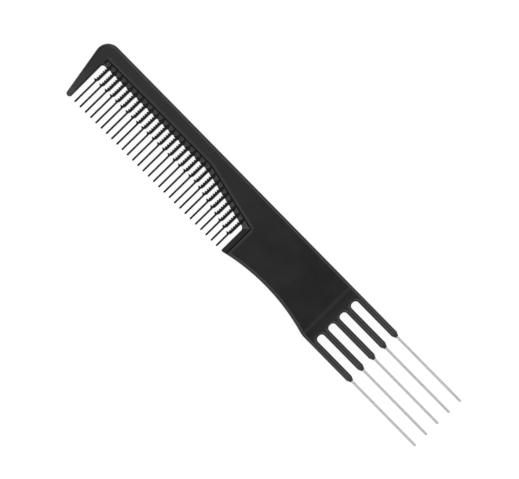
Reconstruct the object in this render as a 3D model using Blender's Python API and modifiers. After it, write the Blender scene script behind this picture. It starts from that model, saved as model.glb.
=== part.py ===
# A lift-and-tease comb: one black moulding with 28 barbed teeth and five arms, and five steel pins moulded
# into the arms. Metres, +Z up. The comb lies on its back: +X points to the pin tips, the teeth point to -Y,
# and z = 0 is the surface that it lies on. The origin is under the middle of its box.

import math
from collections import namedtuple

import bmesh
import bpy
from mathutils import Vector

# Overall
OVERALL_LENGTH = 0.200
BODY_THICKNESS = 0.0040
EDGE_ROUND = 0.00155

# Arms and the slots between them
ARM_COUNT = 5
ARM_PITCH = 0.00625
ARM_WIDTH = 0.00282
ARM_LENGTH = 0.0220
ARM_EDGE_ROUND = 0.00138
SLOT_CORNER_RADIUS = 0.00145
PRONG_THICKNESS = 0.0031
RAMP_TO_SLOTS = 0.0040
RAMP_LENGTH = 0.0020
NOSE_LENGTH = 0.0018
NOSE_END_WIDTH = 0.0015
NOSE_SHOULDER_RADIUS = 0.0012
NOSE_END_RADIUS = 0.0002
NOSE_EDGE_ROUND = 0.0005

# Pins
PIN_DIAMETER = 0.00105
PIN_EXPOSED_LENGTH = 0.0357
PIN_SEAT_DEPTH = 0.0140
PIN_END_CHAMFER = 0.00015
PIN_GROOVE_COUNT = 3
PIN_GROOVE_DEPTH = 0.00012
PIN_GROOVE_LENGTH = 0.0009
PIN_GROOVE_PITCH = 0.0027
PIN_FIRST_GROOVE = 0.0045
PIN_CLEARANCE = 0.00005

# Spine corner and guard tooth
CORNER_RADIUS = 0.00542
GUARD_LEAN = math.radians(10.2)
GUARD_INNER_LEAN = math.radians(0.63)
GUARD_TIP_RADIUS = 0.00122
GUARD_EDGE_ROUND = 0.0010
GUARD_PAST_TEETH = 0.00024
GUARD_ROOT_RADIUS = 0.0005
GUARD_FACET_LENGTH = 0.0042
GUARD_TIP_THICKNESS = 0.0020

# Teeth
TOOTH_COUNT = 28
TOOTH_PITCH = 0.002953
TOOTH_LENGTH = 0.01856
FIRST_TOOTH_SPACING = 0.00274
LAST_TOOTH_SPACING = 0.00273
TOOTH_ROOT_THICKNESS = 0.00336
TOOTH_TIP_THICKNESS = 0.0013
TOOTH_LAND = 0.0005
TOOTH_EMBED = 0.0008
STEM_RIGHT = 0.00086
STEM_RIGHT_LOW = 0.00079
STEM_STEP_TOP = 0.00575
STEM_STEP_DROP = 0.00085
THIN_HALF_WIDTH = 0.00039
THIN_TIP_HALF_WIDTH = 0.00034
ROOT_FILLET = 0.0003
FILLET_SINK = 0.0001
RIB_LEAN = 0.00028

# Barbs on the guard side of each tooth, the first of them half sunk in the root
BARB_COUNT = 6
BARB_PITCH = 0.00109
BARB_VALLEY = 0.00028
BARB_REACH = 0.00085
FIRST_BARB_SINK = 0.00008
LAST_BARB_REACH = 0.00125
LAST_BARB_DROP = 0.00075
LAST_BARB_END_WIDTH = 0.00015

# Root line of the tooth field, and the bevelled window round it
SPINE_DEPTH = 0.00866
ROOT_SLOPE = math.radians(12.75)
SLOPED_ROOT_LENGTH = 0.02694
ROOT_BEND_RADIUS = 0.0100
HEEL_ROOT_RADIUS = 0.0008
ROOT_EDGE_THICKNESS = 0.0007
GROOVE_WIDTH = 0.00265
GROOVE_TOP_THICKNESS = 0.0034
STRIP_WIDTH = 0.00103
WINDOW_CORNER_RADIUS = 0.0010
WINDOW_WALL_GAP = 0.0001
WINDOW_WALL_DRAFT = 0.0002
CREASE_WIDTH = 0.0006
CREASE_DEPTH = 0.00035

# Handle. The waist's place is a share of the way from the heel to the slots, and its depth is measured from
# the heel or the lowest arm, whichever reaches less far.
HEEL_SHORT_OF_TIPS = 0.00012
HEEL_RADIUS = 0.0007
WAIST_DEPTH = 0.0027
WAIST_PLACE_SHARE = 0.431
BLEND_RADIUS = 0.0105

# One overrun serves all cuts, and points closer than the weld distance are one point
OVERRUN = 0.0003
WELD_DISTANCE = 0.0000003

# Shares of the tooth's half width that are left at its faces, and where its flanks are centred
FACE_WIDTH_SHARE = 0.55
STEM_AXIS_SHARE = 0.5

# Steps along the arcs
EDGE_STEPS = 3
CORNER_STEPS = 8
SMALL_STEPS = 3
WAIST_STEPS = 12
NOSE_STEPS = 2
SLOT_STEPS = 4
TOOTH_TIP_STEPS = 4
PIN_SIDES = 12
PIN_TIP_STEPS = 3

# Angles round an outline, anticlockwise from +X, and the least angle of an edge that is left sharp
NORTH = math.radians(90)
WEST = math.radians(180)
SOUTH = math.radians(270)
EAST = math.radians(360)
SHARP_ANGLE = math.radians(32)

# Places worked out from the sizes
HALF_BODY = BODY_THICKNESS / 2
HALF_ARM = ARM_WIDTH / 2
SPINE_Y = ((ARM_COUNT - 1) * ARM_PITCH + ARM_WIDTH) / 2
LOW_Y = -SPINE_Y
LEFT_X = -OVERALL_LENGTH / 2
NOSE_X = OVERALL_LENGTH / 2 - PIN_EXPOSED_LENGTH
SLOT_X = NOSE_X - ARM_LENGTH
RAMP_END_X = SLOT_X - RAMP_TO_SLOTS
RAMP_START_X = RAMP_END_X - RAMP_LENGTH
SHOULDER_X = NOSE_X - NOSE_LENGTH
ROOT_Y = SPINE_Y - SPINE_DEPTH
TIP_Y = ROOT_Y - TOOTH_LENGTH
GUARD_TIP_Y = TIP_Y - GUARD_PAST_TEETH
HEEL_Y = TIP_Y + HEEL_SHORT_OF_TIPS
WAIST_Y = max(HEEL_Y, LOW_Y) + WAIST_DEPTH

Corner = namedtuple("Corner", "centre radius start end steps hollow edge")


def direction(angle):
    return Vector((math.cos(angle), math.sin(angle)))


def corner(centre, radius, start, end, steps, edge=EDGE_ROUND):
    # An arc of the outline, seen from above and followed anticlockwise round the body. One that turns
    # clockwise is hollow. The edge is the rounding that the outline has there.
    return Corner(Vector(centre), radius, start, end, steps, end < start, edge)


def arc_points(arc, inset):
    # The points of the arc when the outline is moved into the material by inset. Past the arc's own centre
    # they all lie where the two sides meet.
    radius = arc.radius + inset if arc.hollow else arc.radius - inset
    turn = arc.end - arc.start
    if radius < 0:
        mitre = radius / math.cos(turn / 2)
        meeting = arc.centre + mitre * direction(arc.start + turn / 2)
        return [meeting] * (arc.steps + 1)
    angles = [arc.start + turn * i / arc.steps for i in range(arc.steps + 1)]
    return [arc.centre + radius * direction(angle) for angle in angles]


def guard_tip_centre(corner_centre):
    # The tip's circle touches the leaning outer edge from inside.
    normal = direction(WEST + GUARD_LEAN)
    y = GUARD_TIP_Y + GUARD_TIP_RADIUS
    reach = CORNER_RADIUS - GUARD_TIP_RADIUS - (y - corner_centre.y) * normal.y
    return Vector((corner_centre.x + reach / normal.x, y))


CORNER_CENTRE = Vector((LEFT_X + CORNER_RADIUS, SPINE_Y - CORNER_RADIUS))
GUARD_TIP_CENTRE = guard_tip_centre(CORNER_CENTRE)
GUARD_ROOT_X = (
    GUARD_TIP_CENTRE.x
    + GUARD_TIP_RADIUS / math.cos(GUARD_INNER_LEAN)
    - (ROOT_Y - GUARD_TIP_CENTRE.y) * math.tan(GUARD_INNER_LEAN)
)
FIRST_TOOTH_X = GUARD_ROOT_X + FIRST_TOOTH_SPACING
LAST_TOOTH_X = FIRST_TOOTH_X + (TOOTH_COUNT - 1) * TOOTH_PITCH
HEEL_X = LAST_TOOTH_X + LAST_TOOTH_SPACING
BEND_X = HEEL_X - SLOPED_ROOT_LENGTH
WAIST_X = HEEL_X + (SLOT_X - HEEL_X) * WAIST_PLACE_SHARE


def root_line(x):
    # Height of the gaps' closed ends: level from the guard tooth, then falling towards the heel.
    return ROOT_Y - max(0, x - BEND_X) * math.tan(ROOT_SLOPE)


def guard_inner_line(y):
    # The guard tooth's inner edge, which leans a little.
    return GUARD_ROOT_X + (ROOT_Y - y) * math.tan(GUARD_INNER_LEAN)


def root_corners(inset, heel_radius):
    # The bend of the root line and the corner where it meets the heel, when both lines are moved into the
    # material by inset.
    start = (BEND_X - ROOT_BEND_RADIUS * math.tan(ROOT_SLOPE / 2), ROOT_Y - ROOT_BEND_RADIUS)
    slope = NORTH - ROOT_SLOPE
    bend = corner(start, ROOT_BEND_RADIUS + inset, NORTH, slope, SMALL_STEPS, GUARD_EDGE_ROUND)
    x = HEEL_X + inset - heel_radius
    y = root_line(x) + (inset - heel_radius) / math.cos(ROOT_SLOPE)
    heel = corner((x, y), heel_radius, slope, 0, SMALL_STEPS, GUARD_EDGE_ROUND)
    return [bend, heel]


def handle_corners():
    # The heel's corner, the long hollow waist and the swell that leads it into the lowest arm. Each touches
    # the next, and the waist's radius follows from its depth and its distance to the heel.
    heel = Vector((HEEL_X + HEEL_RADIUS, HEEL_Y + HEEL_RADIUS))
    run = WAIST_X - heel.x
    rise = WAIST_Y - heel.y
    waist_radius = (run**2 + rise**2 - HEEL_RADIUS**2) / (2 * (rise + HEEL_RADIUS))
    waist = Vector((WAIST_X, WAIST_Y - waist_radius))
    blend_y = LOW_Y + BLEND_RADIUS
    reach = math.sqrt((waist_radius + BLEND_RADIUS) ** 2 - (blend_y - waist.y) ** 2)
    blend = Vector((waist.x + reach, blend_y))
    to_heel = math.atan2(heel.y - waist.y, heel.x - waist.x)
    to_blend = math.atan2(blend.y - waist.y, blend.x - waist.x)
    return [
        corner(heel, HEEL_RADIUS, WEST, WEST + to_heel, SMALL_STEPS),
        corner(waist, waist_radius, to_heel, to_blend, WAIST_STEPS),
        corner(blend, BLEND_RADIUS, WEST + to_blend, SOUTH, SMALL_STEPS),
    ]


def nose_corners(y):
    # One arm's tapered nose, from its lower shoulder round to its upper one.
    taper = math.atan2(HALF_ARM - NOSE_END_WIDTH / 2, NOSE_LENGTH)
    side = NORTH - taper
    shoulder_x = SHOULDER_X - NOSE_SHOULDER_RADIUS * math.tan(taper / 2)
    shoulder_y = HALF_ARM - NOSE_SHOULDER_RADIUS
    end_x = NOSE_X - NOSE_END_RADIUS
    end_y = NOSE_END_WIDTH / 2 - NOSE_END_RADIUS * (1 - math.sin(taper)) / math.cos(taper)
    return [
        corner((shoulder_x, y - shoulder_y), NOSE_SHOULDER_RADIUS, -NORTH, -side, NOSE_STEPS, ARM_EDGE_ROUND),
        corner((end_x, y - end_y), NOSE_END_RADIUS, -side, 0, NOSE_STEPS, NOSE_EDGE_ROUND),
        corner((end_x, y + end_y), NOSE_END_RADIUS, 0, side, NOSE_STEPS, NOSE_EDGE_ROUND),
        corner((shoulder_x, y + shoulder_y), NOSE_SHOULDER_RADIUS, side, NORTH, NOSE_STEPS, ARM_EDGE_ROUND),
    ]


def slot_corners(y):
    # The closed end of the slot above the arm at y.
    x = SLOT_X + SLOT_CORNER_RADIUS
    low = y + HALF_ARM + SLOT_CORNER_RADIUS
    high = y + ARM_PITCH - HALF_ARM - SLOT_CORNER_RADIUS
    return [
        corner((x, low), SLOT_CORNER_RADIUS, SOUTH, WEST, SLOT_STEPS, ARM_EDGE_ROUND),
        corner((x, high), SLOT_CORNER_RADIUS, WEST, NORTH, SLOT_STEPS, ARM_EDGE_ROUND),
    ]


def guard_corners():
    # The spine's round corner, the guard tooth's tip and the corner at its root.
    tip_start = WEST + GUARD_LEAN
    tip_end = EAST + GUARD_INNER_LEAN
    root = (GUARD_ROOT_X + GUARD_ROOT_RADIUS, ROOT_Y - GUARD_ROOT_RADIUS)
    root_start = WEST + GUARD_INNER_LEAN
    return [
        corner(CORNER_CENTRE, CORNER_RADIUS, NORTH, tip_start, CORNER_STEPS),
        corner(GUARD_TIP_CENTRE, GUARD_TIP_RADIUS, tip_start, tip_end, CORNER_STEPS, GUARD_EDGE_ROUND),
        corner(root, GUARD_ROOT_RADIUS, root_start, NORTH, SMALL_STEPS, GUARD_EDGE_ROUND),
    ]


def arm_heights():
    return [LOW_Y + HALF_ARM + ARM_PITCH * i for i in range(ARM_COUNT)]


def body_outline():
    corners = guard_corners() + root_corners(0, HEEL_ROOT_RADIUS) + handle_corners()
    for number, y in enumerate(arm_heights(), 1):
        corners += nose_corners(y)
        if number < ARM_COUNT:
            corners += slot_corners(y)
    return corners


def loft(bm, rings):
    # Joins rings of equally many points into one closed body.
    loops = [[bm.verts.new(point) for point in ring] for ring in rings]
    for lower, upper in zip(loops, loops[1:]):
        for i in range(len(lower)):
            bm.faces.new((lower[i - 1], lower[i], upper[i], upper[i - 1]))
    bm.faces.new(loops[0][::-1])
    bm.faces.new(loops[-1])


def with_mirrored(upper):
    # Rings from mid-thickness to the front face, and the same ones before them in the back half.
    return [[Vector((p.x, p.y, -p.z)) for p in ring] for ring in reversed(upper)] + upper


def finish_mesh(bm, name):
    bmesh.ops.remove_doubles(bm, verts=bm.verts, dist=WELD_DISTANCE)
    bmesh.ops.dissolve_degenerate(bm, edges=bm.edges, dist=WELD_DISTANCE)
    bmesh.ops.triangulate(bm, faces=bm.faces)
    bmesh.ops.recalc_face_normals(bm, faces=bm.faces)
    mesh = bpy.data.meshes.new(name)
    bm.to_mesh(mesh)
    bm.free()
    mesh.shade_smooth()
    mesh.set_sharp_from_angle(angle=SHARP_ANGLE)
    return mesh


def half_thickness(x):
    # Full over the handle, less beyond the ramp, and falling to a round end along each nose.
    half_prong = PRONG_THICKNESS / 2
    stations = [
        (RAMP_START_X, HALF_BODY),
        (RAMP_END_X, half_prong),
        (SHOULDER_X, half_prong),
        (NOSE_X, NOSE_END_WIDTH / 2),
    ]
    if x <= RAMP_START_X:
        return HALF_BODY
    for (x_0, half_0), (x_1, half_1) in zip(stations, stations[1:]):
        if x <= x_1:
            return half_0 + (half_1 - half_0) * (x - x_0) / (x_1 - x_0)
    return NOSE_END_WIDTH / 2


def blank_mesh():
    # The body without its teeth: the outline lofted with rounded edges, then thinned towards the pins.
    corners = body_outline()
    upper = []
    for i in range(EDGE_STEPS + 1):
        lift = NORTH * i / EDGE_STEPS
        ring = []
        for arc in corners:
            height = HALF_BODY - arc.edge * (1 - math.sin(lift))
            flat = arc_points(arc, arc.edge * (1 - math.cos(lift)))
            ring += [Vector((point.x, point.y, height)) for point in flat]
        upper.append(ring)
    bm = bmesh.new()
    loft(bm, with_mirrored(upper))
    for x in (RAMP_START_X, RAMP_END_X, SHOULDER_X):
        geometry = list(bm.verts) + list(bm.edges) + list(bm.faces)
        bmesh.ops.bisect_plane(bm, geom=geometry, plane_co=(x, 0, 0), plane_no=(1, 0, 0))
    for vert in bm.verts:
        drop = HALF_BODY - half_thickness(vert.co.x)
        vert.co.z -= math.copysign(drop, vert.co.z)
    return finish_mesh(bm, "comb_body")


def window_mesh():
    # What is cut from one face round the tooth field: a knife edge along the root line and down the heel, and
    # above it the narrow bevelled strip up to the flat face.
    half_edge = ROOT_EDGE_THICKNESS / 2
    half_groove = GROOVE_TOP_THICKNESS / 2
    groove_rise = (half_groove - half_edge) / GROOVE_WIDTH
    strip_run = STRIP_WIDTH / (HALF_BODY - half_groove)
    past_face = HALF_BODY + OVERRUN
    past_strip = (past_face - half_groove) * strip_run
    levels = [
        (-OVERRUN, half_edge - OVERRUN * groove_rise, HEEL_ROOT_RADIUS),
        (GROOVE_WIDTH, half_groove, WINDOW_CORNER_RADIUS),
        (GROOVE_WIDTH + past_strip, past_face, WINDOW_CORNER_RADIUS + past_strip),
    ]
    low_y = LOW_Y - OVERRUN
    rings = []
    for inset, height, radius in levels:
        wall = WINDOW_WALL_GAP - WINDOW_WALL_DRAFT * height / HALF_BODY
        top_y = ROOT_Y + inset
        flat = [Vector((guard_inner_line(low_y) + wall, low_y)), Vector((HEEL_X + inset, low_y))]
        for arc in reversed(root_corners(inset, radius)):
            flat += reversed(arc_points(arc, 0))
        flat.append(Vector((guard_inner_line(top_y) + wall, top_y)))
        rings.append([Vector((point.x, point.y, height)) for point in flat])
    bm = bmesh.new()
    loft(bm, rings)
    return finish_mesh(bm, "tooth_window")


def crease_mesh():
    # What is cut from one face along the strip's foot: a V-shaped crease that starts up the guard tooth's
    # root and runs on above the teeth and down the heel.
    half_width = CREASE_WIDTH / 2
    groove_rise = (GROOVE_TOP_THICKNESS - ROOT_EDGE_THICKNESS) / 2 / GROOVE_WIDTH
    lines = []
    for offset, drop in ((-half_width, 0), (0, CREASE_DEPTH), (half_width, 0)):
        inset = GROOVE_WIDTH - half_width + offset
        start_x = GUARD_ROOT_X + half_width - offset
        flat = [Vector((start_x, ROOT_Y + CREASE_WIDTH)), Vector((start_x, ROOT_Y + inset))]
        for arc in root_corners(inset, WINDOW_CORNER_RADIUS):
            flat += arc_points(arc, 0)
        flat.append(Vector((HEEL_X + inset, LOW_Y - OVERRUN)))
        depths = [CREASE_WIDTH] + [inset] * (len(flat) - 1)
        heights = [ROOT_EDGE_THICKNESS / 2 + depth * groove_rise - drop for depth in depths]
        lines.append([Vector((point.x, point.y, height)) for point, height in zip(flat, heights)])
    lift = Vector((0, 0, OVERRUN))
    bm = bmesh.new()
    loft(bm, [[inner, middle, outer, outer + lift, inner + lift] for inner, middle, outer in zip(*lines)])
    return finish_mesh(bm, "strip_crease")


def guard_facet_mesh():
    # What is cut from one face of the guard tooth's tip, which thins it like the teeth beside it.
    half_tip = GUARD_TIP_THICKNESS / 2
    fall = (HALF_BODY - half_tip) / GUARD_FACET_LENGTH
    low_y = GUARD_TIP_Y - OVERRUN
    high_y = GUARD_TIP_Y + GUARD_FACET_LENGTH + OVERRUN
    rings = []
    for x in (LEFT_X, FIRST_TOOTH_X - LAST_BARB_REACH - OVERRUN):
        slope = [Vector((x, y, half_tip + fall * (y - GUARD_TIP_Y))) for y in (low_y, high_y)]
        rings.append(slope + [Vector((x, low_y, HALF_BODY + OVERRUN))])
    bm = bmesh.new()
    loft(bm, rings)
    return finish_mesh(bm, "guard_facet")


def tooth_outline(root_y):
    # One tooth in plan, from its top left corner down its barbed side, round its tip and up its plain side.
    # Each point has the middle of the tooth at its height, which its flanks lean towards.
    axis = (STEM_RIGHT - BARB_VALLEY) * STEM_AXIS_SHARE
    top = root_y + GROOVE_WIDTH + TOOTH_EMBED
    first_y = root_y + FIRST_BARB_SINK
    last_y = first_y - BARB_COUNT * BARB_PITCH
    points = [(-BARB_VALLEY - RIB_LEAN, top, axis - RIB_LEAN)]
    for i in range(BARB_COUNT):
        barb_y = first_y - i * BARB_PITCH
        points.append((-BARB_VALLEY, barb_y + BARB_PITCH / 2, axis))
        points.append((-BARB_REACH, barb_y, axis))
    points.append((-BARB_VALLEY, last_y + BARB_PITCH / 2, axis))
    points.append((-LAST_BARB_REACH, last_y + LAST_BARB_END_WIDTH / 2, axis / 2))
    points.append((-LAST_BARB_REACH, last_y - LAST_BARB_END_WIDTH / 2, axis / 2))
    points.append((-THIN_HALF_WIDTH - ROOT_FILLET, last_y - LAST_BARB_DROP / 2, 0))
    points.append((-THIN_HALF_WIDTH, last_y - LAST_BARB_DROP, 0))
    for i in range(TOOTH_TIP_STEPS + 1):
        turn = WEST + (EAST - WEST) * i / TOOTH_TIP_STEPS
        tip = THIN_TIP_HALF_WIDTH * direction(turn)
        points.append((tip.x, TIP_Y + THIN_TIP_HALF_WIDTH + tip.y, 0))
    step_y = root_y - STEM_STEP_TOP
    points.append((THIN_HALF_WIDTH, step_y - STEM_STEP_DROP, 0))
    points.append((STEM_RIGHT_LOW, step_y, axis))
    points.append((STEM_RIGHT, root_y - ROOT_FILLET, axis))
    points.append((STEM_RIGHT + ROOT_FILLET, root_y + FILLET_SINK, axis))
    points.append((STEM_RIGHT - RIB_LEAN, top, axis - RIB_LEAN))
    return points


def tooth_rings(x, root_y):
    # The tooth's section is widest along a land at mid-thickness and leans in to a flat face that thins to
    # the tip.
    half_root = TOOTH_ROOT_THICKNESS / 2
    half_tip = TOOTH_TIP_THICKNESS / 2
    run = root_y + GROOVE_WIDTH - TIP_Y
    wide = []
    narrow = []
    for dx, y, axis in tooth_outline(root_y):
        height = half_tip + (half_root - half_tip) * (y - TIP_Y) / run
        wide.append(Vector((x + dx, y, TOOTH_LAND / 2)))
        narrow.append(Vector((x + axis + (dx - axis) * FACE_WIDTH_SHARE, y, height)))
    return with_mirrored([wide, narrow])


def tooth_row_mesh():
    bm = bmesh.new()
    for i in range(TOOTH_COUNT):
        x = FIRST_TOOTH_X + i * TOOTH_PITCH
        loft(bm, tooth_rings(x, root_line(x - TOOTH_PITCH / 2)))
    return finish_mesh(bm, "tooth_row")


def pin_profile(clearance, top):
    # Half of the pin's section, from its top down its outer side to the axis at the end of its shank.
    # Clearance swells it for the socket. Local z = 0 is where the pin leaves its nose.
    radius = PIN_DIAMETER / 2 + clearance
    waist = radius - PIN_GROOVE_DEPTH
    foot = -PIN_SEAT_DEPTH - clearance
    points = [(radius, top)]
    for i in range(PIN_GROOVE_COUNT):
        start = -PIN_FIRST_GROOVE - i * PIN_GROOVE_PITCH
        end = start - PIN_GROOVE_LENGTH
        points += [(radius, start), (waist, start - PIN_GROOVE_DEPTH)]
        points += [(waist, end), (radius, end - PIN_GROOVE_DEPTH)]
    points += [(radius, foot + PIN_END_CHAMFER), (radius - PIN_END_CHAMFER, foot), (0, foot)]
    return points


def pin_points():
    radius = PIN_DIAMETER / 2
    centre = PIN_EXPOSED_LENGTH - radius
    tip = [(0, PIN_EXPOSED_LENGTH)]
    for i in range(1, PIN_TIP_STEPS):
        rim = radius * direction(NORTH * (1 - i / PIN_TIP_STEPS))
        tip.append((rim.x, centre + rim.y))
    return tip + pin_profile(0, centre)


def socket_points():
    return [(0, OVERRUN)] + pin_profile(PIN_CLEARANCE, OVERRUN)


def turned(name, points, collection):
    # A turned piece about its local z axis.
    mesh = bpy.data.meshes.new(name)
    edges = [(i, i + 1) for i in range(len(points) - 1)]
    mesh.from_pydata([(x, 0, z) for x, z in points], edges, [])
    piece = bpy.data.objects.new(name, mesh)
    collection.objects.link(piece)
    screw = piece.modifiers.new("turn", "SCREW")
    screw.steps = PIN_SIDES
    screw.render_steps = PIN_SIDES
    screw.use_merge_vertices = True
    screw.merge_threshold = WELD_DISTANCE
    screw.use_smooth_shade = True
    return piece


def place_on_arm(piece, y):
    # The pins lie along +X at mid-thickness.
    piece.location = (NOSE_X, y, HALF_BODY)
    piece.rotation_euler = (0, NORTH, 0)


def add_object(name, mesh, collection):
    piece = bpy.data.objects.new(name, mesh)
    collection.objects.link(piece)
    piece.location.z = HALF_BODY
    return piece


def mirror_to_back(piece):
    # The comb's back is the same as its front.
    mirror = piece.modifiers.new("both faces", "MIRROR")
    mirror.use_axis = (False, False, True)
    mirror.use_mirror_merge = False


def boolean(body, other, operation, solver="EXACT"):
    other.hide_render = True
    other.display_type = "WIRE"
    modifier = body.modifiers.new(other.name, "BOOLEAN")
    modifier.operation = operation
    modifier.solver = solver
    modifier.object = other


def material(name, colour, roughness, metallic):
    made = bpy.data.materials.new(name)
    made.use_nodes = True
    shader = made.node_tree.nodes["Principled BSDF"]
    shader.inputs["Base Color"].default_value = (*colour, 1)
    shader.inputs["Roughness"].default_value = roughness
    shader.inputs["Metallic"].default_value = metallic
    return made


def build_body(parts, cutters):
    body = add_object("comb_body", blank_mesh(), parts)
    body.data.materials.append(material("black_moulding", (0.016, 0.016, 0.017), 0.45, 0))
    for number, y in enumerate(arm_heights(), 1):
        socket = turned(f"pin_socket_{number}", socket_points(), cutters)
        place_on_arm(socket, y)
        boolean(body, socket, "DIFFERENCE")
    window = add_object("tooth_window", window_mesh(), cutters)
    mirror_to_back(window)
    boolean(body, window, "DIFFERENCE")
    facet = add_object("guard_facet", guard_facet_mesh(), cutters)
    mirror_to_back(facet)
    # The exact solver leaves open edges at the guard tooth and where the fine teeth meet the knife edge.
    boolean(body, facet, "DIFFERENCE", "MANIFOLD")
    boolean(body, add_object("tooth_row", tooth_row_mesh(), cutters), "UNION", "MANIFOLD")
    crease = add_object("strip_crease", crease_mesh(), cutters)
    mirror_to_back(crease)
    boolean(body, crease, "DIFFERENCE", "MANIFOLD")


def build_pins(parts):
    steel = material("pin_steel", (0.60, 0.60, 0.61), 0.25, 1)
    for number, y in enumerate(arm_heights(), 1):
        pin = turned(f"lift_pin_{number}", pin_points(), parts)
        pin.data.materials.append(steel)
        place_on_arm(pin, y)


def main():
    for old in list(bpy.data.objects):
        bpy.data.objects.remove(old, do_unlink=True)
    parts = bpy.data.collections.new("teasing_comb")
    cutters = bpy.data.collections.new("cutters")
    for collection in (parts, cutters):
        bpy.context.scene.collection.children.link(collection)
    build_body(parts, cutters)
    build_pins(parts)


main()
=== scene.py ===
# Black lift-and-tease comb with steel pins: fine surfaces, materials, light and camera.
# Metres, +Z up. The comb lies on its back with its pins towards +X and its teeth towards -Y.
import math

import bmesh
import bpy
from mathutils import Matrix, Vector


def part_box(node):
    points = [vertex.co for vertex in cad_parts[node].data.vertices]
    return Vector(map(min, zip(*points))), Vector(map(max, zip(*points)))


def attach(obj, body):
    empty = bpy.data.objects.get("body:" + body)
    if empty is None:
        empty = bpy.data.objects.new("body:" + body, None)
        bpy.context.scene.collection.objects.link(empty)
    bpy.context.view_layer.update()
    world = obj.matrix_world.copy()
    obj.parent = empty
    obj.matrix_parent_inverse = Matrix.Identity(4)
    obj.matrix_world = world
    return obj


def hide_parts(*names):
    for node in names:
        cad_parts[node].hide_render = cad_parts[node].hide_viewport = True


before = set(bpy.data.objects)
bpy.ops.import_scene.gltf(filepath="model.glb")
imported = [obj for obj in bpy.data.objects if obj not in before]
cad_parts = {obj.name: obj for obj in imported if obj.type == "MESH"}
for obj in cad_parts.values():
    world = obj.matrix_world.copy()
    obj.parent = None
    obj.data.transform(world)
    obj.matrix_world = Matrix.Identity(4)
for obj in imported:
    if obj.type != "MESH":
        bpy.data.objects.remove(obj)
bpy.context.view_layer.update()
bodyLow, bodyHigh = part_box("comb_body")
pinNames = sorted(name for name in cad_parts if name.startswith("lift_pin"))
print("frame loaded:", len(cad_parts), "nodes")


def addObject(name, data):
    made = bpy.data.objects.new(name, data)
    bpy.context.scene.collection.objects.link(made)
    return made


# Camera: straight above the comb, rolled so that the comb runs from top left to bottom right
photoView = {
    "roll": math.radians(45.49),
    "centre": (-0.00135, 0.0007),
    "width": 0.205,  # real width across the frame
    "lens": 300,
    "clipRange": 10,  # it sees from a tenth of its distance to ten times it
}


def makeCamera():
    data = bpy.data.cameras.new("cameraAbove")
    data.lens = photoView["lens"]
    distance = photoView["width"] * data.lens / data.sensor_width
    data.clip_start = distance / photoView["clipRange"]
    data.clip_end = distance * photoView["clipRange"]
    camera = addObject("cameraAbove", data)
    camera.location = (*photoView["centre"], bodyHigh.z / 2 + distance)
    camera.rotation_euler = (0, 0, photoView["roll"])
    bpy.context.scene.camera = camera


# Studio: white floor, a dark spot straight above with a bright ring round it, a bright soft box along each
# long side of the comb, dim walls, and a small soft lamp over the toothed end
studio = {
    "floorSize": 14.0,
    "floorDrop": 0.00005,  # keeps the floor just under the comb's back
    "floorGlow": 0.92,
    "floorTint": 0.13,  # the part of its white that takes the comb's shadow
    "floorShine": 0.5,  # how much of that white shows in reflections
    "floorPale": 0.3,  # how bright it is to all other light
    "ceilingLight": 0.115,
    "ringLight": 0.75,
    "ringRise": (0.985, 0.93),  # heights in the sky where the ring starts and is full
    "ringFall": (0.90, 0.79),
    "boxLight": 1.75,
    "boxRise": (0.46, 0.60),  # how far the sky leans to a long side where its soft box starts and is full
    "boxFall": (0.73, 0.89),
    "boxFoot": (0.25, 0.5),  # heights in the sky between which the soft boxes end
    "wallLight": 0.55,
    "wallRise": (0.85, 0.55),  # heights in the sky where the ceiling ends and the dim wall is full
    "lampPlace": (-0.09, 0.01, 0.30),
    "lampSize": 0.15,
    "lampPower": 0.037,
}


def addNode(tree, kind, **inputs):
    node = tree.nodes.new(kind)
    for name, value in inputs.items():
        node.inputs[name.replace("_", " ")].default_value = value
    return node


def mathNode(tree, operation, *values):
    node = tree.nodes.new("ShaderNodeMath")
    node.operation = operation
    for socket, value in zip(node.inputs, values):
        tree.links.new(value, socket)
    return node.outputs[0]


def softStep(tree, value, reach, levels):
    node = addNode(tree, "ShaderNodeMapRange")
    node.interpolation_type = "SMOOTHSTEP"
    for name, number in zip(("From Min", "From Max", "To Min", "To Max"), reach + levels):
        node.inputs[name].default_value = number
    tree.links.new(value, node.inputs["Value"])
    return node.outputs[0]


def softBand(tree, value, rise, fall, level):
    risen = softStep(tree, value, rise, (0, level))
    return mathNode(tree, "MULTIPLY", risen, softStep(tree, value, fall, (1, 0)))


def makeWorld():
    world = bpy.data.worlds.new("paleStudio")
    bpy.context.scene.world = world
    world.use_nodes = True
    tree = world.node_tree
    background = tree.nodes["Background"]
    place = tree.nodes.new("ShaderNodeTexCoord")
    split = tree.nodes.new("ShaderNodeSeparateXYZ")
    tree.links.new(place.outputs["Generated"], split.inputs[0])
    up = split.outputs["Z"]
    lean = mathNode(tree, "ABSOLUTE", split.outputs["Y"])
    boxes = softBand(tree, lean, studio["boxRise"], studio["boxFall"], studio["boxLight"])
    boxes = mathNode(tree, "MULTIPLY", boxes, softStep(tree, up, studio["boxFoot"], (0, 1)))
    ring = softBand(tree, up, studio["ringRise"], studio["ringFall"], studio["ringLight"])
    walls = softStep(tree, up, studio["wallRise"], (studio["ceilingLight"], studio["wallLight"]))
    light = mathNode(tree, "ADD", mathNode(tree, "ADD", boxes, walls), ring)
    # White to the camera
    path = tree.nodes.new("ShaderNodeLightPath")
    seen = tree.nodes.new("ShaderNodeMix")
    seen.inputs["B"].default_value = 1
    tree.links.new(path.outputs["Is Camera Ray"], seen.inputs["Factor"])
    tree.links.new(light, seen.inputs["A"])
    tree.links.new(seen.outputs["Result"], background.inputs["Color"])


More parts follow.
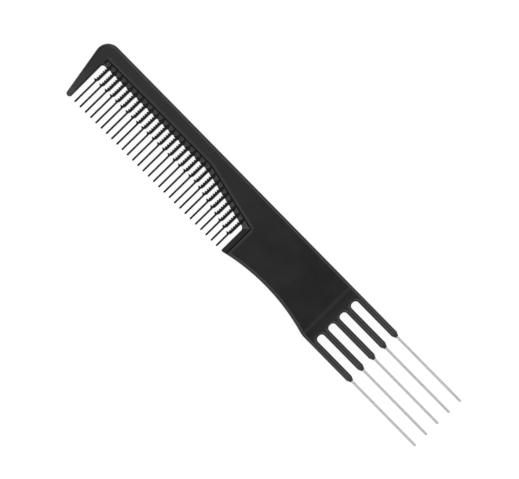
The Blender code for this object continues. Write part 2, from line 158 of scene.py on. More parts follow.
def makeFloor():
    half = studio["floorSize"] / 2
    mesh = bpy.data.meshes.new("floor")
    corners = [(-half, -half, 0), (half, -half, 0), (half, half, 0), (-half, half, 0)]
    mesh.from_pydata(corners, [], [(0, 1, 2, 3)])
    floor = addObject("floor", mesh)
    floor.location.z = bodyLow.z - studio["floorDrop"]

    # White with the comb's faint shadow to the camera and in reflections, plain and pale to other light,
    # clear from below
    material = bpy.data.materials.new("whiteFloor")
    material.use_nodes = True
    tree = material.node_tree
    tree.nodes.remove(tree.nodes["Principled BSDF"])
    path = tree.nodes.new("ShaderNodeLightPath")
    facing = tree.nodes.new("ShaderNodeNewGeometry")
    glow = addNode(tree, "ShaderNodeEmission", Strength=studio["floorGlow"])
    tint = studio["floorTint"]
    shade = addNode(tree, "ShaderNodeBsdfDiffuse", Color=(tint, tint, tint, 1))
    plain = addNode(tree, "ShaderNodeEmission", Strength=studio["floorPale"])
    clear = tree.nodes.new("ShaderNodeBsdfTransparent")
    both = tree.nodes.new("ShaderNodeAddShader")
    pick = tree.nodes.new("ShaderNodeMixShader")
    side = tree.nodes.new("ShaderNodeMixShader")
    link = tree.links.new
    shine = softStep(tree, path.outputs["Is Glossy Ray"], (0, 1), (0, studio["floorShine"]))
    seen = mathNode(tree, "MAXIMUM", path.outputs["Is Camera Ray"], shine)
    seen = mathNode(tree, "MAXIMUM", seen, path.outputs["Is Transmission Ray"])
    link(glow.outputs[0], both.inputs[0])
    link(shade.outputs[0], both.inputs[1])
    link(seen, pick.inputs[0])
    link(plain.outputs[0], pick.inputs[1])
    link(both.outputs[0], pick.inputs[2])
    link(facing.outputs["Backfacing"], side.inputs[0])
    link(pick.outputs[0], side.inputs[1])
    link(clear.outputs[0], side.inputs[2])
    link(side.outputs[0], tree.nodes["Material Output"].inputs["Surface"])
    mesh.materials.append(material)


def makeLamp():
    data = bpy.data.lights.new("softLamp", "AREA")
    data.size = studio["lampSize"]
    data.energy = studio["lampPower"]
    lamp = addObject("softLamp", data)
    lamp.location = studio["lampPlace"]
    lamp.rotation_euler = (-lamp.location).to_track_quat("-Z", "Y").to_euler()
    lamp.visible_camera = False


makeCamera()
makeWorld()
makeFloor()
makeLamp()
print("camera, floor and light made")


# Comb body: the sizes of its fine surface. Its length, width and thickness come from the frame.
comb = {
    "edgeRound": 0.00155,  # radius of the edges of the handle and the spine
    "edgeSteps": 8,
    "arcSag": 0.000004,  # how far a round stretch may stand off its true curve
    "arcLeastSteps": 2,
    # arms
    "armPitch": 0.00625,
    "armWidth": 0.00282,
    "armLength": 0.0220,
    "armEdge": 0.00138,  # radius of the arms' edges
    "armCount": 5,
    "slotCorner": 0.00145,
    "prongThickness": 0.0031,
    "rampToSlots": 0.00415,
    "rampLength": 0.0018,
    "rampSoft": 0.0004,  # length of the softened stretch at each end of the ramp
    "rampFoot": 0.00337,  # thickness at the ramp's foot
    "rampSteps": 12,
    "noseLength": 0.00165,
    "noseShort": 0.00005,  # how far the noses end short of the body's box
    "noseEnd": 0.00124,  # width of a nose at its end
    "noseShoulder": 0.00100,
    "noseTip": 0.0002,
    "noseEdge": 0.0005,
    # guard tooth
    "corner": 0.00542,
    "guardLean": math.radians(10.2),
    "guardInnerLean": math.radians(0.63),
    "guardTip": 0.00122,
    "guardEdge": 0.0010,
    "guardPastTeeth": 0.00024,  # how far it reaches past the other teeth
    "guardRoot": 0.0005,
    "facetLength": 0.0042,  # the slope that thins its tip
    "guardTipThickness": 0.0020,
    # tooth field
    "spineDepth": 0.00866,
    "rootSlope": math.radians(12.75),
    "slopedRoot": 0.02679,  # how far the sloping root line runs along the comb, up to the heel
    "rootBend": 0.0100,
    "heelRoot": 0.0008,
    "heelWeb": 0.0016,  # radius of the plate that rounds the last gap
    "guardWeb": 0.0012,  # radius of the plate that rounds the first gap
    "guardWebRun": 0.0004,
    "guardWebDrop": 0.00018,
    "webSeat": 0.0005,  # how far the webs run into what they join
    "rimThickness": 0.00060,
    "grooveWidth": 0.00265,
    "grooveThickness": 0.00352,
    "stripWidth": 0.00103,
    "windowCorner": 0.0010,
    "creasePlace": 0.00235,
    "creaseWidth": 0.0006,
    "creaseDepth": 0.00035,
    "creaseSteps": (6, 8),  # round the root line's bend and round the heel's corner
    "wallGap": 0.0001,  # how far the cutter's wall stands off the guard tooth at mid-thickness
    "wallDraft": 0.0002,  # how far it leans towards that tooth by the faces
    # handle
    "heelShort": 0.00012,  # how far the heel ends short of the teeth's tips
    "heel": 0.0007,
    "waistDepth": 0.0027,
    "waistShare": 0.4327,  # the waist's place, as a share of the way from the heel to the slots
    "blend": 0.0105,  # radius of the bend from the waist to the straight side
    # cutting and shading
    "overrun": 0.0003,  # how far the cutters reach past what they cut
    "weld": 0.0000003,
    "cutWeld": 0.000001,  # takes up the slivers that the cuts leave
    "sharpAngle": math.radians(12.4),  # edges that bend more than this stay crisp
    "flatWeight": 100,  # how strongly wide faces keep their own direction
}

# One tooth: barbs on the side of the guard tooth, and a plain side with a step lower down
tooth = {
    "count": 28,
    "pitch": 0.002953,
    "length": 0.01856,
    "toGuard": 0.00274,  # from the guard tooth's root to the first tooth
    "toHeel": 0.00258,  # from the last tooth to the heel
    "rootThickness": 0.00336,
    "tipThickness": 0.0013,
    "land": 0.0005,  # flat width along the middle of a tooth's sides
    "embed": 0.0008,  # how far the ribs run on into the strip
    "right": 0.00089,  # plain side at the root, from the tooth's middle line
    "rightLow": 0.00083,
    "stepTop": 0.00575,
    "stepDrop": 0.00085,
    "thin": 0.00043,  # half width of the thin end
    "thinTip": 0.00039,
    "fillet": 0.0003,
    "filletSink": 0.0001,
    "ribLean": 0.00028,  # how far a tooth's rib leans to the guard tooth in the groove
    "barbs": 6,
    "barbPitch": 0.00109,
    "barbValley": 0.00034,
    "barbReach": 0.00089,
    "barbRound": 0.00005,
    "firstSink": 0.00008,
    "lastReach": 0.00125,  # the longer last barb
    "lastDrop": 0.00075,
    "lastEnd": 0.00015,
    "faceShare": 0.55,  # width of the flat face, as a share of the tooth's own
    "faceSpread": (0.06, 0.02),  # added to that share at the foot of the softened edge and near its top
    "axisShare": 0.5,  # the middle's place between the barbs' valleys and the plain side
    "tipSteps": 10,
    "edgeRound": 0.00012,
    "webReach": 0.00150,
    "webDrop": 0.00042,
    "webCurve": (0.25, 0.6),  # shares of the drop half way to the barbs and at the barbs' points
}

quarter = math.radians(90)  # a quarter turn
halfBody = (bodyHigh.z - bodyLow.z) / 2
midZ = (bodyHigh.z + bodyLow.z) / 2
leftX, noseX = bodyLow.x, bodyHigh.x
lowY, spineY = bodyLow.y, bodyHigh.y
halfArm = comb["armWidth"] / 2
slotX = noseX - comb["armLength"]
rampEndX = slotX - comb["rampToSlots"]
rampStartX = rampEndX - comb["rampLength"]
blockEndX = slotX - comb["edgeRound"]
noseEndX = noseX - comb["noseShort"]
shoulderX = noseEndX - comb["noseLength"]
halfRim = comb["rimThickness"] / 2
halfGroove = comb["grooveThickness"] / 2
grooveRise = (halfGroove - halfRim) / comb["grooveWidth"]
rootY = spineY - comb["spineDepth"]
tipY = rootY - tooth["length"]
guardTipY = tipY - comb["guardPastTeeth"]
heelY = tipY + comb["heelShort"]
waistY = max(heelY, lowY) + comb["waistDepth"]


def polar(angle, radius=1):
    return Vector((math.cos(angle), math.sin(angle))) * radius


def makeArc(centre, radius, start, end, edge=comb["edgeRound"]):
    step = 2 * math.acos(1 - comb["arcSag"] / radius)
    return {
        "centre": Vector(centre),
        "radius": radius,
        "start": start,
        "turn": end - start,
        "steps": max(comb["arcLeastSteps"], math.ceil(abs(end - start) / step)),
        "edge": edge,
    }


def arcPoints(arc, inset=0):
    # The arc when the outline moves into the material. Past its own centre all points lie at the mitre.
    radius = arc["radius"] + (inset if arc["turn"] < 0 else -inset)
    if radius < 0:
        mitre = radius / math.cos(arc["turn"] / 2)
        return [arc["centre"] + polar(arc["start"] + arc["turn"] / 2, mitre)] * (arc["steps"] + 1)
    return [
        arc["centre"] + polar(arc["start"] + arc["turn"] * i / arc["steps"], radius)
        for i in range(arc["steps"] + 1)
    ]


cornerCentre = Vector((leftX + comb["corner"], spineY - comb["corner"]))
leanNormal = polar(2 * quarter + comb["guardLean"])
guardTipCentreY = guardTipY + comb["guardTip"]
guardReach = comb["corner"] - comb["guardTip"] - (guardTipCentreY - cornerCentre.y) * leanNormal.y
guardTipCentre = Vector((cornerCentre.x + guardReach / leanNormal.x, guardTipCentreY))
innerSlope = math.tan(comb["guardInnerLean"])
guardRootX = (
    guardTipCentre.x
    + comb["guardTip"] / math.cos(comb["guardInnerLean"])
    - (rootY - guardTipCentre.y) * innerSlope
)
firstToothX = guardRootX + tooth["toGuard"]
heelX = firstToothX + (tooth["count"] - 1) * tooth["pitch"] + tooth["toHeel"]
bendX = heelX - comb["slopedRoot"]
waistX = heelX + (slotX - heelX) * comb["waistShare"]


def rootLine(x):
    return rootY - max(0, x - bendX) * math.tan(comb["rootSlope"])


def guardInner(y):
    return guardRootX + (rootY - y) * innerSlope


def rootArcs(inset, heelRadius):
    slope = quarter - comb["rootSlope"]
    bend = (bendX - comb["rootBend"] * math.tan(comb["rootSlope"] / 2), rootY - comb["rootBend"])
    x = heelX + inset - heelRadius
    heel = (x, rootLine(x) + (inset - heelRadius) / math.cos(comb["rootSlope"]))
    return [
        makeArc(bend, comb["rootBend"] + inset, quarter, slope, comb["guardEdge"]),
        makeArc(heel, heelRadius, slope, 0, comb["guardEdge"]),
    ]


def rootPoints(inset, heelRadius, steps):
    # The root line's bend and the heel's corner, in the same steps at every inset so that the insets join
    points = []
    for arc, count in zip(rootArcs(inset, heelRadius), steps):
        arc["steps"] = count
        points += arcPoints(arc)
    return points


def guardArcs():
    tipStart = 2 * quarter + comb["guardLean"]
    tipEnd = 4 * quarter + comb["guardInnerLean"]
    root = (guardRootX + comb["guardRoot"], rootY - comb["guardRoot"])
    return [
        makeArc(cornerCentre, comb["corner"], quarter, tipStart),
        makeArc(guardTipCentre, comb["guardTip"], tipStart, tipEnd, comb["guardEdge"]),
        makeArc(root, comb["guardRoot"], 2 * quarter + comb["guardInnerLean"], quarter, comb["guardEdge"]),
    ]


def handleArcs():
    heel = Vector((heelX + comb["heel"], heelY + comb["heel"]))
    run, rise = waistX - heel.x, waistY - heel.y
    radius = (run**2 + rise**2 - comb["heel"] ** 2) / (2 * (rise + comb["heel"]))
    waist = Vector((waistX, waistY - radius))
    blendY = lowY + comb["blend"]
    reach = math.sqrt((radius + comb["blend"]) ** 2 - (blendY - waist.y) ** 2)
    blend = Vector((waist.x + reach, blendY))
    toHeel = math.atan2(heel.y - waist.y, heel.x - waist.x)
    toBlend = math.atan2(blend.y - waist.y, blend.x - waist.x)
    return [
        makeArc(heel, comb["heel"], 2 * quarter, 2 * quarter + toHeel),
        makeArc(waist, radius, toHeel, toBlend),
        makeArc(blend, comb["blend"], 2 * quarter + toBlend, 3 * quarter),
    ]


def noseArcs(y):
    taper = math.atan2(halfArm - comb["noseEnd"] / 2, comb["noseLength"])
    side = quarter - taper
    shoulder = shoulderX - comb["noseShoulder"] * math.tan(taper / 2)
    out = halfArm - comb["noseShoulder"]
    endX = noseEndX - comb["noseTip"]
    endY = comb["noseEnd"] / 2 - comb["noseTip"] * (1 - math.sin(taper)) / math.cos(taper)
    return [
        makeArc((shoulder, y - out), comb["noseShoulder"], -quarter, -side, comb["armEdge"]),
        makeArc((endX, y - endY), comb["noseTip"], -side, 0, comb["noseEdge"]),
        makeArc((endX, y + endY), comb["noseTip"], 0, side, comb["noseEdge"]),
        makeArc((shoulder, y + out), comb["noseShoulder"], side, quarter, comb["armEdge"]),
    ]


def slotArcs(y):
    radius = comb["slotCorner"]
    low = y + halfArm + radius
    high = y + comb["armPitch"] - halfArm - radius
    return [
        makeArc((slotX + radius, low), radius, 3 * quarter, 2 * quarter, comb["armEdge"]),
        makeArc((slotX + radius, high), radius, 2 * quarter, quarter, comb["armEdge"]),
    ]


def edgeChange(y, angle):
    # The point on a straight side, just before the slots, where its edge rounding narrows to the arms'
    radius = comb["corner"]
    return makeArc(Vector((blockEndX, y)) - polar(angle, radius), radius, angle, angle, comb["armEdge"])


def combOutline():
    arcs = guardArcs() + rootArcs(0, comb["heelRoot"]) + handleArcs() + [edgeChange(lowY, 3 * quarter)]
    for i in range(comb["armCount"]):
        y = lowY + halfArm + comb["armPitch"] * i
        arcs += noseArcs(y)
        if i < comb["armCount"] - 1:
            arcs += slotArcs(y)
    return arcs + [edgeChange(spineY, quarter)]


def joinLoops(bm, loops):
    for lower, upper in zip(loops, loops[1:]):
        for i in range(len(lower)):
            bm.faces.new((lower[i - 1], lower[i], upper[i], upper[i - 1]))


def loftRings(bm, rings):
    loops = [[bm.verts.new(point) for point in ring] for ring in rings]
    joinLoops(bm, loops)
    bm.faces.new(loops[0][::-1])
    bm.faces.new(loops[-1])


def bothFaces(upper):
    return [[Vector((p.x, p.y, -p.z)) for p in ring] for ring in reversed(upper)] + upper


def placeMesh(bm, name):
    # Pieces are made about mid-thickness and lifted to their place
    bmesh.ops.recalc_face_normals(bm, faces=bm.faces)
    mesh = bpy.data.meshes.new(name)
    bm.to_mesh(mesh)
    bm.free()
    piece = addObject(name, mesh)
    piece.location.z = midZ
    return piece


def meshObject(bm, name):
    bmesh.ops.remove_doubles(bm, verts=bm.verts, dist=comb["weld"])
    bmesh.ops.dissolve_degenerate(bm, edges=bm.edges, dist=comb["weld"])
    bmesh.ops.triangulate(bm, faces=bm.faces)
    return placeMesh(bm, name)


def rampDrop(run):
    # How far the face has come down at this distance along the ramp, whose two ends are softened
    length, soft = comb["rampLength"], comb["rampSoft"]
    slope = (halfBody - comb["rampFoot"] / 2) / (length - soft)
    if run < soft:
        return slope * run**2 / soft / 2
    if run < length - soft:
        return slope * (run - soft / 2)
    return slope * (length - soft - (length - run) ** 2 / soft / 2)


def halfThickness(x):
    # The handle, the ramp, a gentle taper from its foot to the slots, the arms, and the noses' tapers
    halfFoot, halfProng, halfEnd = comb["rampFoot"] / 2, comb["prongThickness"] / 2, comb["noseEnd"] / 2
    if x <= rampStartX:
        return halfBody
    if x <= rampEndX:
        return halfBody - rampDrop(x - rampStartX)
    if x <= shoulderX:
        return halfFoot + (halfProng - halfFoot) * min(1, (x - rampEndX) / (blockEndX - rampEndX))
    return halfProng + (halfEnd - halfProng) * min(1, (x - shoulderX) / comb["noseLength"])


def makeBlank():
    # The comb without its teeth: rounded edges all round, and the thinner prong end
    arcs = combOutline()
    upper = []
    for i in range(comb["edgeSteps"] + 1):
        lift = quarter * i / comb["edgeSteps"]
        ring = []
        for arc in arcs:
            height = halfBody - arc["edge"] * (1 - math.sin(lift))
            flat = arcPoints(arc, arc["edge"] * (1 - math.cos(lift)))
            ring += [Vector((p.x, p.y, height)) for p in flat]
        upper.append(ring)
    bm = bmesh.new()
    loftRings(bm, bothFaces(upper))
    ramp = [rampStartX + comb["rampLength"] * i / comb["rampSteps"] for i in range(comb["rampSteps"] + 1)]
    for x in ramp + [blockEndX, shoulderX]:
        everything = list(bm.verts) + list(bm.edges) + list(bm.faces)
        bmesh.ops.bisect_plane(bm, geom=everything, plane_co=(x, 0, 0), plane_no=(1, 0, 0))
    for vert in bm.verts:
        vert.co.z -= math.copysign(halfBody - halfThickness(vert.co.x), vert.co.z)
    return meshObject(bm, "combShell")


def makeWindow():
    # Cutter for the groove and the bevelled strip round the tooth field, on the upper face
    pastFace = halfBody + comb["overrun"]
    pastStrip = (pastFace - halfGroove) * comb["stripWidth"] / (halfBody - halfGroove)
    levels = [
        (-comb["overrun"], halfRim - comb["overrun"] * grooveRise, comb["heelRoot"]),
        (comb["grooveWidth"], halfGroove, comb["windowCorner"]),
        (comb["grooveWidth"] + pastStrip, pastFace, comb["windowCorner"] + pastStrip),
    ]
    steps = [arc["steps"] for arc in rootArcs(levels[-1][0], levels[-1][2])]
    bottom = lowY - comb["overrun"]
    rings = []
    for inset, height, radius in levels:
        wall = comb["wallGap"] - comb["wallDraft"] * height / halfBody
        top = rootY + inset
        flat = [Vector((guardInner(bottom) + wall, bottom)), Vector((heelX + inset, bottom))]
        flat += reversed(rootPoints(inset, radius, steps))
        flat.append(Vector((guardInner(top) + wall, top)))
        rings.append([Vector((p.x, p.y, height)) for p in flat])
    bm = bmesh.new()
    loftRings(bm, rings)
    return meshObject(bm, "windowCutter")


def makeCrease():
    # Cutter for the V-shaped crease up the foot of the guard tooth, along the foot of the strip and down
    # the heel
    halfWidth = comb["creaseWidth"] / 2
    lines = []
    for offset, drop in ((-halfWidth, 0), (0, comb["creaseDepth"]), (halfWidth, 0)):
        inset = comb["creasePlace"] + offset
        foot = Vector((guardRootX + halfWidth - offset, rootY + comb["creaseWidth"]))
        line = [foot, Vector((foot.x, rootY + inset))]
        line += rootPoints(inset, comb["windowCorner"], comb["creaseSteps"])
        line.append(Vector((heelX + inset, lowY)))
        depths = [comb["creaseWidth"]] + [inset] * (len(line) - 1)
        heights = [halfRim + depth * grooveRise - drop for depth in depths]
        lines.append([Vector((p.x, p.y, height)) for p, height in zip(line, heights)])
    lift = Vector((0, 0, comb["overrun"]))
    sections = [[a, b, c, c + lift, a + lift] for a, b, c in zip(*lines)]
    bm = bmesh.new()
    loftRings(bm, sections)
    return meshObject(bm, "creaseCutter")


def makeFacet():
    # Cutter for the slope that thins the guard tooth's tip, on the upper face
    halfTip = comb["guardTipThickness"] / 2
    fall = (halfBody - halfTip) / comb["facetLength"]
    lower, upper = guardTipY - comb["overrun"], guardTipY + comb["facetLength"] + comb["overrun"]
    rings = []
    for x in (leftX, firstToothX - tooth["lastReach"] - comb["overrun"]):
        slope = [Vector((x, y, halfTip + fall * (y - guardTipY))) for y in (lower, upper)]
        rings.append(slope + [Vector((x, lower, halfBody + comb["overrun"]))])
    bm = bmesh.new()
    loftRings(bm, rings)
    return meshObject(bm, "facetCutter")


def barbPoint(x, y, flat, whole, axis):
    # A barb's blunt point with softened corners, as toothPlan gives its points
    corners = ((tooth["barbRound"], whole), (0, flat), (0, -flat), (tooth["barbRound"], -whole))
    return [(x + dx, y + dy, axis) for dx, dy in corners]


def toothPlan(root):
    # One tooth from above, down its barbed side and up its plain one. Each point is x, y and the middle
    # that the tooth's sides lean to.
    axis = (tooth["right"] - tooth["barbValley"]) * tooth["axisShare"]
    top = root + comb["grooveWidth"] + tooth["embed"]
    first = root + tooth["firstSink"]
    last = first - tooth["barbs"] * tooth["barbPitch"]
    valley, soft = -tooth["barbValley"], tooth["barbRound"]
    notch = ((-soft / 2, soft), (0, 0), (-soft / 2, -soft))
    plan = [(valley - tooth["ribLean"], top, axis - tooth["ribLean"])]
    for i in range(tooth["barbs"]):
        y = first - i * tooth["barbPitch"]
        dip = y + tooth["barbPitch"] / 2
        plan += [(valley + dx, dip + dy, axis) for dx, dy in notch]
        plan += barbPoint(-tooth["barbReach"], y, soft / 3, soft, axis)
    thin, halfEnd = tooth["thin"], tooth["lastEnd"] / 2
    plan.append((valley, last + tooth["barbPitch"] / 2, axis))
    plan += barbPoint(-tooth["lastReach"], last, halfEnd, halfEnd + soft, axis / 2)
    plan.append((-thin - tooth["fillet"], last - tooth["lastDrop"] / 2, 0))
    plan.append((-thin, last - tooth["lastDrop"], 0))
    for i in range(tooth["tipSteps"] + 1):
        tip = polar(2 * quarter * (1 + i / tooth["tipSteps"]), tooth["thinTip"])
        plan.append((tip.x, tipY + tooth["thinTip"] + tip.y, 0))
    step = root - tooth["stepTop"]
    return plan + [
        (thin, step - tooth["stepDrop"], 0),
        (tooth["rightLow"], step, axis),
        (tooth["right"], root - tooth["fillet"], axis),
        (tooth["right"] + tooth["fillet"], root + tooth["filletSink"], axis),
        (tooth["right"] - tooth["ribLean"], top, axis - tooth["ribLean"]),
    ]


def makeTeeth():
    halfRoot, halfTip = tooth["rootThickness"] / 2, tooth["tipThickness"] / 2
    soft = tooth["edgeRound"]
    # Each level of the tooth's section: share of its width, and how far below its face
    share, (spreadLow, spreadHigh) = tooth["faceShare"], tooth["faceSpread"]
    levels = [(share + spreadLow, soft), (share + spreadHigh, soft / 3), (share - spreadLow, 0)]
    bm = bmesh.new()
    for i in range(tooth["count"]):
        x = firstToothX + i * tooth["pitch"]
        root = rootLine(x - tooth["pitch"] / 2)
        run = root + comb["grooveWidth"] - tipY
        plan = toothPlan(root)
        upper = [[Vector((x + dx, y, tooth["land"] / 2)) for dx, y, axis in plan]]
        for width, drop in levels:
            ring = []
            for dx, y, axis in plan:
                face = halfTip + (halfRoot - halfTip) * (y - tipY) / run
                ring.append(Vector((x + axis + (dx - axis) * width, y, face - drop)))
            upper.append(ring)
        loftRings(bm, bothFaces(upper))
    return meshObject(bm, "teeth")


def addPlate(bm, plan):
    # A thin plate, as thick as the rim that it joins
    loftRings(bm, [[Vector((x, y, z)) for x, y in plan] for z in (-halfRim, halfRim)])


def makeWebs():
    # Thin webs that round every gap's end on the barbed side of its tooth
    reach, barb, drop, seat = tooth["webReach"], tooth["barbReach"], tooth["webDrop"], comb["webSeat"]
    halfWay, atBarbs = tooth["webCurve"]
    plan = [
        (-reach, seat),
        (-reach, tooth["filletSink"] / 2),
        (-(reach + barb) / 2, -drop * halfWay),
        (-barb, -drop * atBarbs),
        (-tooth["barbValley"], -drop),
        (0, seat),
    ]
    bm = bmesh.new()
    for i in range(tooth["count"]):
        x = firstToothX + i * tooth["pitch"]
        root = rootLine(x - tooth["pitch"] / 2)
        addPlate(bm, [(x + dx, root + dy) for dx, dy in plan])
    return meshObject(bm, "webs")


def makeCornerWebs():
    # Thin plates that round the first gap's end at the guard tooth and the last gap's end at the heel
    seat, radius = comb["webSeat"], comb["guardWeb"]
    low, high = rootY - comb["guardWebDrop"], rootY + seat
    left, right = guardRootX - seat, guardRootX + radius + comb["guardWebRun"]
    arc = makeArc((guardRootX + radius, low - radius), radius, 2 * quarter, quarter)
    guard = [(left, low - radius)] + arcPoints(arc) + [(right, low), (right, high), (left, high)]
    heel = arcPoints(rootArcs(0, comb["heelWeb"])[1])
    right, high = heelX + seat, heel[0].y + seat
    heel += [(right, heel[-1].y), (right, high), (heel[0].x, high)]
    bm = bmesh.new()
    for plan in (guard, heel):
        addPlate(bm, plan)
    return meshObject(bm, "cornerWebs")


# Pins: their radius, length and places come from the frame
pin = {
    "clearance": 0.00005,  # all round in the arm's bore
    "seatDepth": 0.0140,  # how far the shank sits in the arm
    "chamfer": 0.00015,
    "sides": 40,
    "tipSteps": 10,
    "grooves": 3,
    "grooveDepth": 0.00012,
    "grooveLength": 0.0009,
    "groovePitch": 0.0027,
    "firstGroove": 0.0045,
}


def turnPiece(name, profile, y):
    # A turned piece along +X from the nose, at mid-thickness
    bm = bmesh.new()
    rings = []
    for x, radius in profile[1:-1]:
        turn = [polar(4 * quarter * i / pin["sides"], radius) for i in range(pin["sides"])]
        rings.append([bm.verts.new((noseX + x, y + p.x, p.y)) for p in turn])
    joinLoops(bm, rings)
    for ring, (x, radius) in ((rings[0], profile[0]), (rings[-1], profile[-1])):
        end = bm.verts.new((noseX + x, y, 0))
        for i in range(pin["sides"]):
            bm.faces.new((ring[i - 1], ring[i], end))
    return placeMesh(bm, name)


def pinProfile(radius, length):
    # Along the pin from the end of its shank to its rounded tip
    foot = -pin["seatDepth"]
    profile = [(foot, 0), (foot, radius - pin["chamfer"]), (foot + pin["chamfer"], radius)]
    waist = radius - pin["grooveDepth"]
    for i in reversed(range(pin["grooves"])):
        start = -pin["firstGroove"] - i * pin["groovePitch"]
        end = start - pin["grooveLength"]
        profile += [(end - pin["grooveDepth"], radius), (end, waist)]
        profile += [(start - pin["grooveDepth"], waist), (start, radius)]
    for i in range(pin["tipSteps"]):
        rim = polar(quarter * (1 - i / pin["tipSteps"]), radius)
        profile.append((length - radius + rim.x, rim.y))
    return profile + [(length, 0)]


def makeSocket(y, radius):
    bore = radius + pin["clearance"]
    foot, mouth = -pin["seatDepth"] - pin["clearance"], comb["overrun"]
    return turnPiece("socketCutter", [(foot, 0), (foot, bore), (mouth, bore), (mouth, 0)], y)


def applyAll(piece):
    # Makes the modifiers' result the piece's own mesh
    dg = bpy.context.evaluated_depsgraph_get()
    mesh = bpy.data.meshes.new_from_object(piece.evaluated_get(dg))
    piece.modifiers.clear()
    piece.data = mesh


def cutWith(piece, other, operation, mirrored=False):
    # A joined piece brings its own material
    if mirrored:
        mirror = other.modifiers.new("bothFaces", "MIRROR")
        mirror.use_axis = (False, False, True)
        mirror.use_mirror_merge = False
    change = piece.modifiers.new(other.name, "BOOLEAN")
    change.operation = operation
    change.solver = "MANIFOLD"
    change.material_mode = "TRANSFER" if operation == "UNION" else "INDEX"
    change.object = other
    applyAll(piece)
    bpy.data.objects.remove(other, do_unlink=True)


def weldCuts(piece):
    bm = bmesh.new()
    bm.from_mesh(piece.data)
    bmesh.ops.remove_doubles(bm, verts=bm.verts, dist=comb["cutWeld"])
    bmesh.ops.dissolve_degenerate(bm, edges=bm.edges, dist=comb["cutWeld"])
    bm.to_mesh(piece.data)
    bm.free()


def softShade(piece):
    # Smooth round stretches, true flat faces and crisp edges
    piece.data.shade_smooth()
    piece.data.set_sharp_from_angle(angle=comb["sharpAngle"])
    weighted = piece.modifiers.new("flatFaces", "WEIGHTED_NORMAL")
    weighted.keep_sharp = True
    weighted.weight = comb["flatWeight"]
    applyAll(piece)


# Black plastic: the teeth are darker and less shiny than the body, as painted shade, and the prong
# block, arms and guard tooth are paler, as painted light. Each noise is its scale, detail and roughness.
plastic = {
    "dark": (0.0055, 0.0055, 0.0059, 1),
    "pale": (0.0075, 0.0075, 0.0080, 1),
    # Painted light: a paler colour laid over the prong block, the arms and the guard tooth
    "paintedLight": (0.0240, 0.0240, 0.0246, 1),
    "paintedLightSoft": 0.0008,
    "blockPaintedLight": 0.45,  # how far the prong block is painted paler at the slots, as painted light, against 1 at the guard tooth's tip
    "blockPaintedLightRun": 0.0036,
    "armPaintedLight": 0.45,  # how much further the arms are painted paler at their noses, as painted light
    "guardPaintedLightLength": 0.0142,
    # Painted shade: the teeth's darker colours and weaker sheen
    "toothShadeDark": (0.0030, 0.0030, 0.0032, 1),
    "toothShadePale": (0.0050, 0.0050, 0.0053, 1),
    "sheen": 0.5,
    "toothShadeSheen": 0.22,
    "roughLow": 0.26,
    "roughHigh": 0.34,
    "mottle": (90, 6, 0.6),
    "grain": (2600, 3, 0.5),
    "grainHeight": 0.000012,
    "wave": (45, 2, 0.5),
    "waveHeight": 0.00006,
}

# Drawn steel: fine lines along the pins
steel = {
    "base": (0.58, 0.58, 0.585, 1),
    "lineRoughLow": 0.30,
    "lineRoughHigh": 0.40,
    "drawStretch": (30, 2600, 2600),
    "drawLines": (1, 4, 0.5),
    "drawHeight": 0.000001,
}

noiseReach = (0.3, 0.7)  # where most of a noise's values lie


def objectNoise(tree, place, scale, detail, roughness):
    noise = addNode(tree, "ShaderNodeTexNoise", Scale=scale, Detail=detail, Roughness=roughness)
    tree.links.new(place, noise.inputs["Vector"])
    return noise.outputs["Fac"]


def paintedLightPlaces(tree, place):
    # Painted light: the prong block, the arms and the guard tooth are painted paler, standing in for light
    # they catch
    split = tree.nodes.new("ShaderNodeSeparateXYZ")
    tree.links.new(place, split.inputs[0])
    along, across = split.outputs["X"], split.outputs["Y"]
    block = softStep(tree, along, (rampEndX, rampEndX + plastic["blockPaintedLightRun"]), (0, plastic["blockPaintedLight"]))
    arms = softStep(tree, along, (slotX, noseX), (0, plastic["armPaintedLight"]))
    beside = softStep(tree, along, (guardRootX, guardRootX - plastic["paintedLightSoft"]), (0, 1))
    below = softStep(tree, across, (rootY, rootY - plastic["guardPaintedLightLength"]), (0, 1))
    prongs = mathNode(tree, "ADD", block, arms)
    return mathNode(tree, "MAXIMUM", prongs, mathNode(tree, "MULTIPLY", beside, below))


def spread(tree, value, low, high):
    node = addNode(tree, "ShaderNodeMapRange")
    for name, number in zip(("From Min", "From Max", "To Min", "To Max"), (*noiseReach, low, high)):
        node.inputs[name].default_value = number
    tree.links.new(value, node.inputs["Value"])
    return node.outputs[0]


def blackPlastic(name, dark, pale, sheen):
    material = bpy.data.materials.new(name)
    material.use_nodes = True
    tree = material.node_tree
    shader = tree.nodes["Principled BSDF"]
    place = tree.nodes.new("ShaderNodeTexCoord").outputs["Object"]
    mottle = objectNoise(tree, place, *plastic["mottle"])
    grain = objectNoise(tree, place, *plastic["grain"])
    wave = objectNoise(tree, place, *plastic["wave"])
    colour = tree.nodes.new("ShaderNodeMix")
    colour.data_type = "RGBA"
    colour.inputs["A"].default_value = dark
    colour.inputs["B"].default_value = pale
    # Painted light: mixes the paler colour in over the prong block, the arms and the guard tooth
    paintedLight = tree.nodes.new("ShaderNodeMix")
    paintedLight.data_type = "RGBA"
    paintedLight.inputs["B"].default_value = plastic["paintedLight"]
    shader.inputs["Specular IOR Level"].default_value = sheen
    tree.links.new(spread(tree, mottle, 0, 1), colour.inputs["Factor"])
    tree.links.new(colour.outputs["Result"], paintedLight.inputs["A"])
    tree.links.new(paintedLightPlaces(tree, place), paintedLight.inputs["Factor"])
    tree.links.new(paintedLight.outputs["Result"], shader.inputs["Base Color"])
    rough = spread(tree, mottle, plastic["roughLow"], plastic["roughHigh"])
    tree.links.new(rough, shader.inputs["Roughness"])
    fine = addNode(tree, "ShaderNodeBump", Distance=plastic["grainHeight"])
    broad = addNode(tree, "ShaderNodeBump", Distance=plastic["waveHeight"])
    tree.links.new(grain, fine.inputs["Height"])
    tree.links.new(wave, broad.inputs["Height"])
    tree.links.new(broad.outputs["Normal"], fine.inputs["Normal"])
    tree.links.new(fine.outputs["Normal"], shader.inputs["Normal"])
    return material


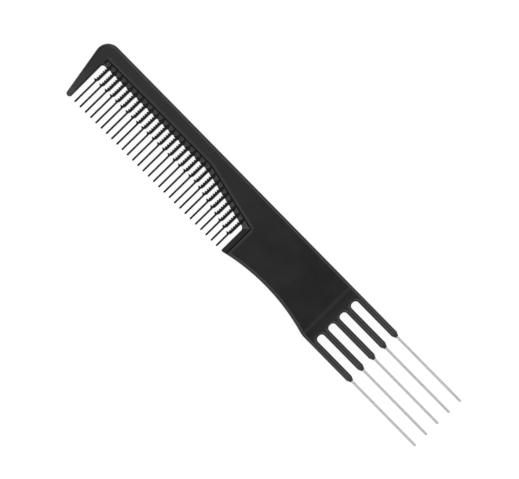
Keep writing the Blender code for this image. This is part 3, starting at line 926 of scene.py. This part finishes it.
def drawnSteel():
    material = bpy.data.materials.new("drawnSteel")
    material.use_nodes = True
    tree = material.node_tree
    shader = tree.nodes["Principled BSDF"]
    shader.inputs["Base Color"].default_value = steel["base"]
    shader.inputs["Metallic"].default_value = 1
    place = tree.nodes.new("ShaderNodeTexCoord").outputs["Object"]
    stretch = tree.nodes.new("ShaderNodeMapping")
    stretch.inputs["Scale"].default_value = steel["drawStretch"]
    tree.links.new(place, stretch.inputs["Vector"])
    lines = objectNoise(tree, stretch.outputs["Vector"], *steel["drawLines"])
    rough = spread(tree, lines, steel["lineRoughLow"], steel["lineRoughHigh"])
    tree.links.new(rough, shader.inputs["Roughness"])
    bump = addNode(tree, "ShaderNodeBump", Distance=steel["drawHeight"])
    tree.links.new(lines, bump.inputs["Height"])
    tree.links.new(bump.outputs["Normal"], shader.inputs["Normal"])
    return material


def makeComb():
    shell = makeBlank()
    bodyPlastic = blackPlastic("blackPlastic", plastic["dark"], plastic["pale"], plastic["sheen"])
    shell.data.materials.append(bodyPlastic)
    for name in pinNames:
        low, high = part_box(name)
        cutWith(shell, makeSocket((low.y + high.y) / 2, (high.y - low.y) / 2), "DIFFERENCE")
    cutWith(shell, makeWindow(), "DIFFERENCE", mirrored=True)
    cutWith(shell, makeFacet(), "DIFFERENCE", mirrored=True)
    # The teeth and webs get a darker, less shiny copy of the plastic as painted shade
    shadedToothColours = plastic["toothShadeDark"], plastic["toothShadePale"]
    shadedToothPlastic = blackPlastic("shadedToothPlastic", *shadedToothColours, plastic["toothShadeSheen"])
    for added in (makeTeeth(), makeWebs(), makeCornerWebs()):
        added.data.materials.append(shadedToothPlastic)
        cutWith(shell, added, "UNION")
    cutWith(shell, makeCrease(), "DIFFERENCE", mirrored=True)
    weldCuts(shell)
    softShade(shell)
    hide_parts("comb_body")
    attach(shell, "root")
    print("comb body made:", len(shell.data.polygons), "faces")


def makePins():
    material = drawnSteel()
    for number, name in enumerate(pinNames, 1):
        low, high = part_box(name)
        profile = pinProfile((high.y - low.y) / 2, high.x - noseX)
        piece = turnPiece(f"steelPin{number}", profile, (low.y + high.y) / 2)
        softShade(piece)
        piece.data.materials.append(material)
        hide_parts(name)
        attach(piece, "root")
    print("pins made:", len(pinNames))


makeComb()
makePins()

bpy.context.scene.view_settings.view_transform = "Standard"
